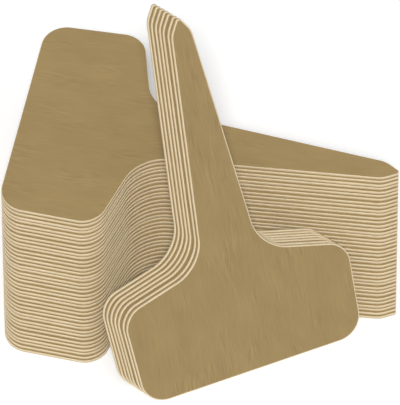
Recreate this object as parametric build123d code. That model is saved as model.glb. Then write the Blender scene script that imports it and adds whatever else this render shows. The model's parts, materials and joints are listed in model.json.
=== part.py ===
from build123d import *
from math import cos, radians, sin
import os

# One stake, cut from thin sheet: a wide writing head that flares a little, sloping shoulders,
# rounded necks and a long stem that tapers to a blunt tip. All sizes in millimetres and degrees.
stake_length = 100.0
stake_thickness = 0.85
head_width = 61.0
head_length = 26.4
head_flare = 0.85
shoulder_length = 6.6
neck_width = 16.2
point_length = 4.6
point_width = 5.4
tip_width = 0.9

head_corner_radius = 6.7
shoulder_radius = 6.4
neck_radius = 10.8

# The stack lies flat. Each stake is set back a little from the one below it, square to the stem
# and slightly towards the head, so a narrow strip of every face shows below the next edge.
stack_count = 39
stack_gap = 0.06
stack_setback = 0.53
stack_heading = 11.3

# Hand-stacked sheets are never quite even. The shares repeat up the stack and average one.
gap_shares = (1.0, 0.7, 1.3, 0.9, 1.2, 1.5, 0.6, 0.8, 1.1, 1.4, 0.5)
setback_shares = (1.0, 1.2, 0.7, 1.1, 0.9, 1.3, 1.0, 0.8, 1.2, 0.6, 1.1, 0.9, 1.2)

# The bundle stands on its head edges in front of the stem and leans back against the stack.
leaning_count = 7
leaning_gap = 0.06
lean_angle = 31.8
bundle_heading = 33.2
bundle_place = 66.7
bundle_fan = 0.65
bundle_clearance = 0.3

# The two outermost stakes of the bundle stand a little off the rest.
leaning_gap_shares = (1.0, 4.0, 1.0, 0.8, 1.2, 1.0)
fan_shares = (0.95, 1.2, 0.9, 1.0, 1.05, 0.9)

outline_samples = 12


def stake_outline():
    """The face of one stake, its head edge centred on the origin and its point along +X."""
    head_side = head_width / 2
    shoulder_side = head_side + head_flare
    neck_side = neck_width / 2
    point_side = point_width / 2
    neck_end = head_length + shoulder_length
    point_start = stake_length - point_length
    one_side = [
        (0, head_side, head_corner_radius),
        (head_length, shoulder_side, shoulder_radius),
        (neck_end, neck_side, neck_radius),
        (point_start, point_side, 0),
        (stake_length, tip_width / 2, 0),
    ]
    corners = [(x, -y) for x, y, _ in one_side]
    corners.extend((x, y) for x, y, _ in reversed(one_side))
    radii = [radius for _, _, radius in one_side]
    return make_face(FilletPolyline(*corners, radius=radii + radii[::-1], close=True))


def stack_places():
    """Where each flat stake lies: the centre of its head edge on its underside, lowest first."""
    turn = radians(stack_heading)
    back = Vector(-sin(turn), cos(turn), 0)
    place = Vector(0, 0, 0)
    places = [place]
    for i in range(stack_count - 1):
        gap = stack_gap * gap_shares[i % len(gap_shares)]
        setback = stack_setback * setback_shares[i % len(setback_shares)]
        place = place + back * setback + Vector(0, 0, stake_thickness + gap)
        places.append(place)
    return places


def bundle_steps(rearward, along):
    """How far each leaning stake's foot is from the front one's, on the ground."""
    step = Vector(0, 0, 0)
    steps = [step]
    for i in range(leaning_count - 1):
        gap = leaning_gap * leaning_gap_shares[i % len(leaning_gap_shares)]
        depth = (stake_thickness + gap) / cos(radians(lean_angle))
        fan = bundle_fan * fan_shares[i % len(fan_shares)]
        step = step + rearward * depth - along * fan
        steps.append(step)
    return steps


def outline_points(outline):
    """Points along the whole rounded outline, in order along each of its edges."""
    spots = [i / outline_samples for i in range(outline_samples + 1)]
    return [edge.position_at(spot) for edge in outline.edges() for spot in spots]


def near_side(side, x):
    """How far the side towards -Y lies at x, or nothing where the stake has no width there."""
    for (x0, y0), (x1, y1) in zip(side, side[1:]):
        if x0 <= x <= x1 and x1 > x0:
            return y0 + (y1 - y0) * (x - x0) / (x1 - x0)
    return None


def bundle_reach(points, places, steps, up, along):
    """How far the bundle would reach past the stack's near side with its foot line through y = 0."""
    side = sorted((p.X, p.Y) for p in points if p.Y <= 0)
    reach = []
    for step in steps:
        foot = Vector(bundle_place, 0, 0) + step
        for p in points:
            spot = foot + up * p.X + along * p.Y
            for place in places:
                if place.Z - bundle_clearance <= spot.Z <= place.Z + stake_thickness:
                    edge = near_side(side, spot.X - place.X)
                    if edge is not None:
                        reach.append(spot.Y - place.Y - edge)
    return max(reach)


outline = stake_outline()
points = outline_points(outline)
stake = extrude(outline, amount=stake_thickness)

named_stakes = {}
places = stack_places()
for number, place in enumerate(places, start=1):
    named_stakes[f"stack_stake_{number:02d}"] = Pos(place) * stake

# The bundle's own directions: along its foot line, back over the ground, and up each stake.
heading = radians(bundle_heading)
lean = radians(lean_angle)
along = Vector(cos(heading), sin(heading), 0)
rearward = Vector(-sin(heading), cos(heading), 0)
up = rearward * sin(lean) + Vector(0, 0, cos(lean))
front = Vector(0, 0, sin(lean)) - rearward * cos(lean)

steps = bundle_steps(rearward, along)
reach = bundle_reach(points, places, steps, up, along)
foot = Vector(bundle_place, -reach - bundle_clearance, 0)
for number, step in enumerate(steps, start=1):
    stand = Plane(origin=foot + step, x_dir=up, z_dir=front)
    named_stakes[f"leaning_stake_{number}"] = stand * stake

# The whole set stands with the middle of its base at the origin.
box = Compound(list(named_stakes.values())).bounding_box()
middle = Pos(-box.center().X, -box.center().Y, -box.min.Z)

os.makedirs("parts", exist_ok=True)
for name, piece in named_stakes.items():
    export_step(middle * piece, f"parts/{name}.step")

print("stack height", round(places[-1].Z + stake_thickness, 2))
print("stack setback", round(places[-1].Y, 2))
print("bundle foot", round(foot.X, 2), round(foot.Y, 2))
print("set size", box.size)
print("set middle", box.center())
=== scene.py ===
import json
import random
from math import cos, radians, sin, tan

import bmesh
import bpy
from mathutils import Matrix, Vector


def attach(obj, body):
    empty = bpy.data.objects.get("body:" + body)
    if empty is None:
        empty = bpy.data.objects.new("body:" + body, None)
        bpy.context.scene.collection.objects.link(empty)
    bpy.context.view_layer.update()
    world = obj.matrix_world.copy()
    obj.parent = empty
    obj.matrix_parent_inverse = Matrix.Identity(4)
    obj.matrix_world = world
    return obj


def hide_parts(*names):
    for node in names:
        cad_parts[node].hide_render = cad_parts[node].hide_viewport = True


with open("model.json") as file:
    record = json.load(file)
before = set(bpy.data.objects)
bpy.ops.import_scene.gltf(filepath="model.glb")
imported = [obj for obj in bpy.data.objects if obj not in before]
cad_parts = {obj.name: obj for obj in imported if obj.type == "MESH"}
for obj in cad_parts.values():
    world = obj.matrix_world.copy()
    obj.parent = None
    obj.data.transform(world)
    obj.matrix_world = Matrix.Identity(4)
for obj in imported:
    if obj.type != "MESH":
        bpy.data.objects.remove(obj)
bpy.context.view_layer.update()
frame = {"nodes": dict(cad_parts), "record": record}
print("frame:", len(frame["nodes"]), "stakes")

noiseSpan = (0.3, 0.7)  # the noise texture hardly leaves this span
white = (1, 1, 1, 1)


# Small helpers for node trees
def newMaterial(name):
    material = bpy.data.materials.new(name)
    material.use_nodes = True
    tree = material.node_tree
    tree.nodes.clear()
    output = tree.nodes.new("ShaderNodeOutputMaterial")
    shader = tree.nodes.new("ShaderNodeBsdfPrincipled")
    tree.links.new(shader.outputs["BSDF"], output.inputs["Surface"])
    return material, tree, shader


def readAttribute(tree, name):
    node = tree.nodes.new("ShaderNodeAttribute")
    node.attribute_name = name
    return node


# Noise drawn out along the stake. Its marks are a length and a width in metres, and a detail.
def grainNoise(tree, place, marks, turn=0.0):
    length, width, detail = marks
    mapping = tree.nodes.new("ShaderNodeMapping")
    mapping.inputs["Rotation"].default_value = (0, 0, turn)
    mapping.inputs["Scale"].default_value = (1 / length, 1 / width, 1 / width)
    noise = tree.nodes.new("ShaderNodeTexNoise")
    noise.inputs["Scale"].default_value = 1
    noise.inputs["Detail"].default_value = detail
    tree.links.new(place, mapping.inputs["Vector"])
    tree.links.new(mapping.outputs["Vector"], noise.inputs["Vector"])
    return noise.outputs["Fac"]


def mapped(tree, value, low, high, toLow, toHigh):
    node = tree.nodes.new("ShaderNodeMapRange")
    node.inputs["From Min"].default_value = low
    node.inputs["From Max"].default_value = high
    node.inputs["To Min"].default_value = toLow
    node.inputs["To Max"].default_value = toHigh
    tree.links.new(value, node.inputs["Value"])
    return node.outputs["Result"]


# Noise turned into a value that swings to either side of a middle one
def swing(tree, noise, reach, middle=0.0):
    return mapped(tree, noise, *noiseSpan, middle - reach, middle + reach)


# A slow wave shifts the grain from side to side, because it never runs quite straight
def waved(tree, place, waves, reach):
    wave = swing(tree, grainNoise(tree, place, waves), reach)
    sideways = tree.nodes.new("ShaderNodeCombineXYZ")
    tree.links.new(wave, sideways.inputs["Y"])
    moved = tree.nodes.new("ShaderNodeVectorMath")
    tree.links.new(place, moved.inputs[0])
    tree.links.new(sideways.outputs["Vector"], moved.inputs[1])
    return moved.outputs["Vector"]


def combined(tree, operation, *values):
    total = values[0]
    for value in values[1:]:
        node = tree.nodes.new("ShaderNodeMath")
        node.operation = operation
        tree.links.new(total, node.inputs[0])
        tree.links.new(value, node.inputs[1])
        total = node.outputs["Value"]
    return total


def ramp(tree, value, stops):
    node = tree.nodes.new("ShaderNodeValToRGB")
    colours = node.color_ramp.elements
    while len(colours) < len(stops):
        colours.new(0.5)  # it gets its own spot below
    for colour, (spot, rgb) in zip(colours, stops):
        colour.position = spot
        colour.color = (*rgb, 1)
    tree.links.new(value, node.inputs["Fac"])
    return node.outputs["Color"]


def bumped(tree, shader, height, strength, distance):
    node = tree.nodes.new("ShaderNodeBump")
    node.inputs["Strength"].default_value = strength
    node.inputs["Distance"].default_value = distance
    tree.links.new(height, node.inputs["Height"])
    tree.links.new(node.outputs["Normal"], shader.inputs["Normal"])


# The stained face. Its marks run along the stem and wave a little, and the strongest ones come
# in loose clusters. A share is how far a kind of mark moves the colour along the ramp.
stainedFace = {
    "colours": [
        (0.00, (0.260, 0.182, 0.078)),
        (0.50, (0.346, 0.243, 0.105)),
        (1.00, (0.432, 0.304, 0.131)),
    ],
    "waves": (0.0110, 0.0050, 1),
    "waveReach": 0.0005,
    "streaks": (0.0090, 0.00062, 3),
    "streakShare": 0.065,
    "hairs": (0.0038, 0.00032, 2),
    "hairShare": 0.065,
    "patches": (0.0100, 0.0055, 2),
    "patchShare": 0.09,
    "marks": (0.0046, 0.00042, 1),
    "markTurn": radians(2),
    "markShare": 0.21,
    "clusters": (0.0100, 0.0052, 1),
    "clusterSpan": (0.50, 0.66),
    "roughness": (0.52, 0.66),
    "shine": 0.25,
    "grainStrength": 0.35,
    "grainDepth": 0.00003,
}


def makeStainedFace(look):
    material, tree, shader = newMaterial("stainedFace")
    # The tone attribute holds each stake's own tone and, on the leaning bundle, painted shade
    # as well
    tone = readAttribute(tree, "tone").outputs["Fac"]
    straight = readAttribute(tree, "grain").outputs["Vector"]
    place = waved(tree, straight, look["waves"], look["waveReach"])
    streaks = grainNoise(tree, place, look["streaks"])
    hairs = grainNoise(tree, place, look["hairs"])
    patches = grainNoise(tree, place, look["patches"])
    marks = grainNoise(tree, place, look["marks"], look["markTurn"])
    clusters = grainNoise(tree, place, look["clusters"])
    inClusters = mapped(tree, clusters, *look["clusterSpan"], 0, 1)
    total = combined(
        tree, "ADD", tone,
        swing(tree, streaks, look["streakShare"]),
        swing(tree, hairs, look["hairShare"]),
        swing(tree, patches, look["patchShare"]),
        combined(tree, "MULTIPLY", swing(tree, marks, look["markShare"]), inClusters),
    )
    tree.links.new(ramp(tree, total, look["colours"]), shader.inputs["Base Color"])
    rough = mapped(tree, streaks, *noiseSpan, *look["roughness"])
    tree.links.new(rough, shader.inputs["Roughness"])
    shader.inputs["Specular IOR Level"].default_value = look["shine"]
    grain = combined(tree, "ADD", streaks, hairs)
    bumped(tree, shader, grain, look["grainStrength"], look["grainDepth"])
    return material


# The raw cut edge, paler, with fibres that run along it
rawEdge = {
    "colours": [
        (0.00, (0.600, 0.480, 0.305)),
        (0.50, (0.715, 0.590, 0.395)),
        (1.00, (0.790, 0.668, 0.470)),
    ],
    "tone": 0.5,
    "fibres": (0.0070, 0.00020, 2),
    "fibreShare": 0.14,
    "blotches": (0.0060, 0.0060, 1),
    "blotchShare": 0.12,
    "roughness": 0.75,
    "shine": 0.2,
    "fibreStrength": 0.3,
    "fibreDepth": 0.00002,
}


def makeRawEdge(look):
    material, tree, shader = newMaterial("rawEdge")
    place = readAttribute(tree, "grain").outputs["Vector"]
    fibres = grainNoise(tree, place, look["fibres"])
    blotches = grainNoise(tree, place, look["blotches"])
    total = combined(
        tree, "ADD",
        swing(tree, fibres, look["fibreShare"], look["tone"]),
        swing(tree, blotches, look["blotchShare"]),
    )
    tree.links.new(ramp(tree, total, look["colours"]), shader.inputs["Base Color"])
    shader.inputs["Roughness"].default_value = look["roughness"]
    shader.inputs["Specular IOR Level"].default_value = look["shine"]
    bumped(tree, shader, fibres, look["fibreStrength"], look["fibreDepth"])
    return material


finishes = [makeStainedFace(stainedFace), makeRawEdge(rawEdge)]
faceSlot, edgeSlot = 0, 1  # their places on every stake
print("finishes:", ", ".join(material.name for material in finishes))


# One stake lies on its back with the middle of its head edge at the origin and its point
# along +X. A corner is its distance along the stake, half the width there and its radius.
stakeShape = {
    "corners": [
        (0.0000, 0.03050, 0.0067),
        (0.0264, 0.03135, 0.0064),
        (0.0330, 0.00810, 0.0108),
        (0.0962, 0.00275, 0.0060),
        (0.1000, 0.00050, 0.0006),
    ],
    "thickness": 0.00085,
    "cornerSteps": 12,
    "arrisSteps": 3,
    "underArris": 0.00006,
    "flatFrom": 0.999,  # a face whose normal is this upright is flat
    "tolerance": 1e-7,
}


# How far along its sides a corner is cut back to round it to a radius
def cornerCut(before, here, after, radius):
    turn = (here - before).angle(after - here)
    return radius * tan(turn / 2)


def rimAt(bm, height, tolerance):
    return [e for e in bm.edges if all(abs(v.co.z - height) < tolerance for v in e.verts)]


def cutStake(shape, look):
    bm = bmesh.new()
    corners = shape["corners"]
    near = [bm.verts.new((x, -half, 0)) for x, half, radius in corners]
    far = [bm.verts.new((x, half, 0)) for x, half, radius in corners]
    bm.faces.new(near + far[::-1])
    spots = [far[0].co.copy()] + [v.co.copy() for v in near] + [far[-1].co.copy()]
    for i, (x, half, radius) in enumerate(corners):
        bmesh.ops.bevel(
            bm, geom=[near[i], far[i]], offset=cornerCut(*spots[i:i + 3], radius),
            offset_type="OFFSET", segments=shape["cornerSteps"], profile=0.5,
            affect="VERTICES", material=-1,
        )
    thickness = shape["thickness"]
    raised = bmesh.ops.extrude_face_region(bm, geom=bm.faces[:])["geom"]
    top = [g for g in raised if isinstance(g, bmesh.types.BMVert)]
    bmesh.ops.translate(bm, verts=top, vec=(0, 0, thickness))
    bmesh.ops.recalc_face_normals(bm, faces=bm.faces[:])
    bmesh.ops.bevel(
        bm, geom=rimAt(bm, thickness, shape["tolerance"]), offset=look["arris"],
        segments=shape["arrisSteps"], profile=0.5, affect="EDGES", material=-1,
    )
    bmesh.ops.bevel(
        bm, geom=rimAt(bm, 0, shape["tolerance"]), offset=shape["underArris"],
        segments=1, profile=0.5, affect="EDGES", material=-1,
    )
    bm.normal_update()
    for face in bm.faces:
        flat = abs(face.normal.z) > shape["flatFrom"]
        face.smooth = True
        face.material_index = faceSlot if flat else edgeSlot
        if flat:
            for edge in face.edges:
                edge.smooth = False
    mesh = bpy.data.meshes.new("stakeBlank")
    bm.to_mesh(mesh)
    bm.free()
    return mesh


# Where a stake's own axes start in the frame, read off the node that it stands for
def stakePlace(node, axes):
    corners = [v.co for v in frame["nodes"][node].data.vertices]
    spans = [[corner.dot(axis) for corner in corners] for axis in axes]
    along, across, thick = [(min(span), max(span)) for span in spans]
    start = axes[0] * along[0] + axes[1] * (across[0] + across[1]) / 2 + axes[2] * thick[0]
    turn = Matrix(axes).transposed().to_4x4()
    return Matrix.Translation(start) @ turn


def writeAttribute(mesh, name, kind, key, values):
    attribute = mesh.attributes.new(name, kind, "POINT")
    attribute.data.foreach_set(key, values)


# The grain is laid out on the flat blank, so it follows each stake wherever it stands
def copyStake(blank, name, node, axes, look):
    mesh = blank.copy()
    mesh.name = name
    shift = Vector([draw.uniform(-grainShift, grainShift) for _ in range(3)])
    places = [value for vertex in mesh.vertices for value in vertex.co + shift]
    # For the bundle this tone also holds painted shade, set lower to even out the light on its
    # leaning faces
    tone = look["tone"] + draw.uniform(-look["toneSpread"], look["toneSpread"])
    writeAttribute(mesh, "grain", "FLOAT_VECTOR", "vector", places)
    writeAttribute(mesh, "tone", "FLOAT", "value", [tone] * len(mesh.vertices))
    mesh.transform(stakePlace(node, axes))
    for material in finishes:
        mesh.materials.append(material)
    stake = bpy.data.objects.new(name, mesh)
    scene.collection.objects.link(stake)
    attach(stake, node)
    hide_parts(node)


scene = bpy.context.scene
draw = random.Random(11)  # seeded, so that every run cuts the same stakes
grainShift = 5.0  # metres, so that no two stakes show the same grain

# The flat stack
stackLook = {"count": 39, "tone": 0.5, "toneSpread": 0.05, "arris": 0.00017}
flatAxes = [Vector((1, 0, 0)), Vector((0, 1, 0)), Vector((0, 0, 1))]
flatBlank = cutStake(stakeShape, stackLook)
for number in range(1, stackLook["count"] + 1):
    name, node = f"stackStake{number:02d}", f"stack_stake_{number:02d}"
    copyStake(flatBlank, name, node, flatAxes, stackLook)
print("stack:", stackLook["count"], "stakes")

# The leaning bundle: its stakes face the way that the front one's writing face does
# The bundle's tone sits below the stack's as painted shade, which evens out the extra light
# that its leaning faces get from the floor; the spread around it is the wood's own
bundleLook = {"count": 7, "tone": 0.23, "toneSpread": 0.03, "arris": 0.00032}
mounts = {mount["name"]: mount for mount in frame["record"]["mounts"]}
facing = Vector(mounts["writing_face"]["axis"]).normalized()
upright = (Vector((0, 0, 1)) - facing * facing.z).normalized()
leaningAxes = [upright, facing.cross(upright), facing]
leaningBlank = cutStake(stakeShape, bundleLook)
for number in range(1, bundleLook["count"] + 1):
    name, node = f"leaningStake{number}", f"leaning_stake_{number}"
    copyStake(leaningBlank, name, node, leaningAxes, bundleLook)
print("bundle:", bundleLook["count"], "stakes")


# A pale floor and even light from all round
studio = {
    "floorHalf": 3.0,
    "floorDrop": 0.0002,
    "floorColour": (0.90, 0.90, 0.90, 1),
    "floorLift": 0.185,
    "skyStrength": 0.21,
}

# The main lamp shines nearly along the view, and two weaker ones fill in from its sides
lamps = {
    "mainLamp": {
        "azimuth": radians(11), "elevation": radians(54.5),
        "angle": radians(10), "strength": 2.31,
    },
    "rightLamp": {
        "azimuth": radians(60), "elevation": radians(62),
        "angle": radians(50), "strength": 0.40,
    },
    "leftLamp": {
        "azimuth": radians(-45), "elevation": radians(35),
        "angle": radians(50), "strength": 0.22,
    },
}


# 1 for what the camera sees directly, in a reflection or through glass
def seenDirectly(tree):
    path = tree.nodes.new("ShaderNodeLightPath")
    kinds = ("Is Camera Ray", "Is Glossy Ray", "Is Transmission Ray")
    return combined(tree, "MAXIMUM", *[path.outputs[kind] for kind in kinds])


def makeFloor(look):
    bm = bmesh.new()
    bmesh.ops.create_grid(bm, x_segments=1, y_segments=1, size=look["floorHalf"])
    bmesh.ops.translate(bm, verts=bm.verts[:], vec=(0, 0, -look["floorDrop"]))
    mesh = bpy.data.meshes.new("floor")
    bm.to_mesh(mesh)
    bm.free()
    material, tree, shader = newMaterial("paleFloor")
    shader.inputs["Base Color"].default_value = look["floorColour"]
    shader.inputs["Roughness"].default_value = 1
    shader.inputs["Specular IOR Level"].default_value = 0
    shader.inputs["Emission Color"].default_value = white
    lift = mapped(tree, seenDirectly(tree), 0, 1, 0, look["floorLift"])
    tree.links.new(lift, shader.inputs["Emission Strength"])
    mesh.materials.append(material)
    floor = bpy.data.objects.new("floor", mesh)
    scene.collection.objects.link(floor)


def makeSky(look):
    world = bpy.data.worlds.new("studio")
    scene.world = world
    world.use_nodes = True
    tree = world.node_tree
    background = tree.nodes["Background"]
    background.inputs["Color"].default_value = white
    strength = mapped(tree, seenDirectly(tree), 0, 1, look["skyStrength"], 1)
    tree.links.new(strength, background.inputs["Strength"])


# The way back from the set to something that looks at it
def backwards(turn, rise):
    return Vector((sin(turn) * cos(rise), -cos(turn) * cos(rise), sin(rise)))


def makeLamp(name, look):
    light = bpy.data.lights.new(name, "SUN")
    light.angle = look["angle"]
    light.energy = look["strength"]
    lamp = bpy.data.objects.new(name, light)
    back = backwards(look["azimuth"], look["elevation"])
    lamp.rotation_euler = (-back).to_track_quat("-Z", "Y").to_euler()
    scene.collection.objects.link(lamp)


makeFloor(studio)
makeSky(studio)
for lampName, lampLook in lamps.items():
    makeLamp(lampName, lampLook)
print("studio ready:", len(lamps), "lamps")

# The camera looks down on the set from in front and a little to the right
cameraLook = {
    "target": (-0.0021, 0.0022, 0.0250),
    "azimuth": radians(11),
    "elevation": radians(54),
    "distance": 1.0,
    "lens": 340.5,
}


def makeCamera(look):
    data = bpy.data.cameras.new("camera")
    data.lens = look["lens"]
    camera = bpy.data.objects.new("camera", data)
    back = backwards(look["azimuth"], look["elevation"])
    camera.location = Vector(look["target"]) + back * look["distance"]
    camera.rotation_euler = (-back).to_track_quat("-Z", "Y").to_euler()
    scene.collection.objects.link(camera)
    scene.camera = camera


makeCamera(cameraLook)
scene.view_settings.view_transform = "Standard"
